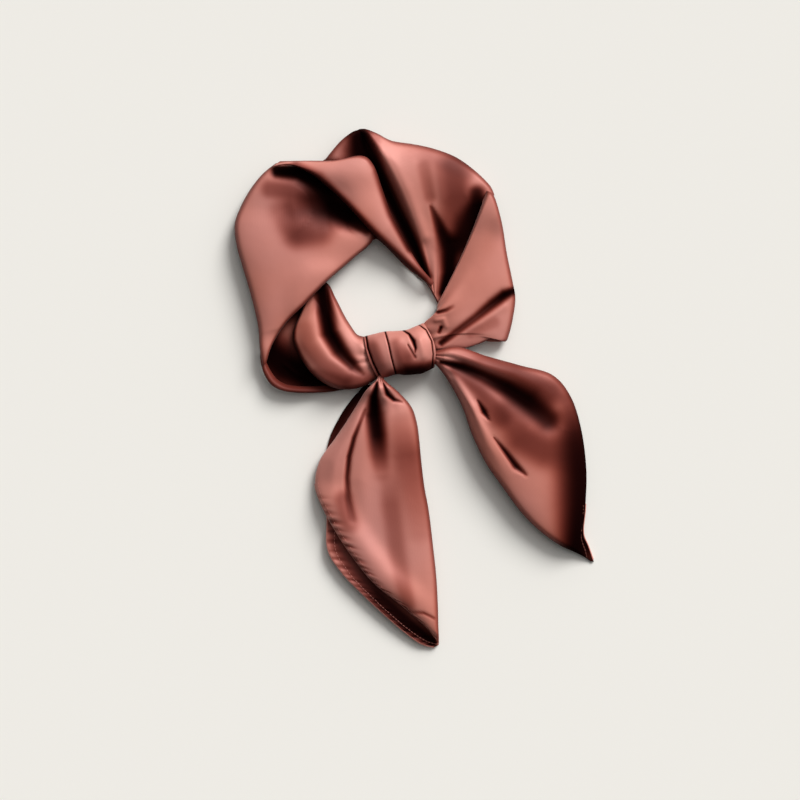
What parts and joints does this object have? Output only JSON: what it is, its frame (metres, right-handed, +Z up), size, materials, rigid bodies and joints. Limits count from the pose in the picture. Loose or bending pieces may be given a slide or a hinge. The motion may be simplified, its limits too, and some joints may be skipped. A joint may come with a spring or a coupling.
{
  "type": "head scarf",
  "caption": "Satin head scarf folded to a band, wound to an open loop, tied once and laid flat with two free tails.",
  "frame": {"origin": "on the surface that the scarf lies on, under the middle of its box", "axes": "+Z up from the surface, +Y from the tails towards the loop, +X towards the right tail"},
  "size_m": [0.2696, 0.3898, 0.0272],
  "materials": {
    "satin": "soft copper rose satin with fine weave"
  },
  "bodies": {
    "root": {"loop_under_layer": "satin", "turned_rim": "satin", "left_fold": "satin", "inner_fold": "satin", "cross_fold": "satin", "back_fold": "satin", "right_fold": "satin", "knot": "satin", "left_tail": "satin", "left_tail_under_leaf": "satin", "right_tail": "satin"}
  },
  "joints": []
}
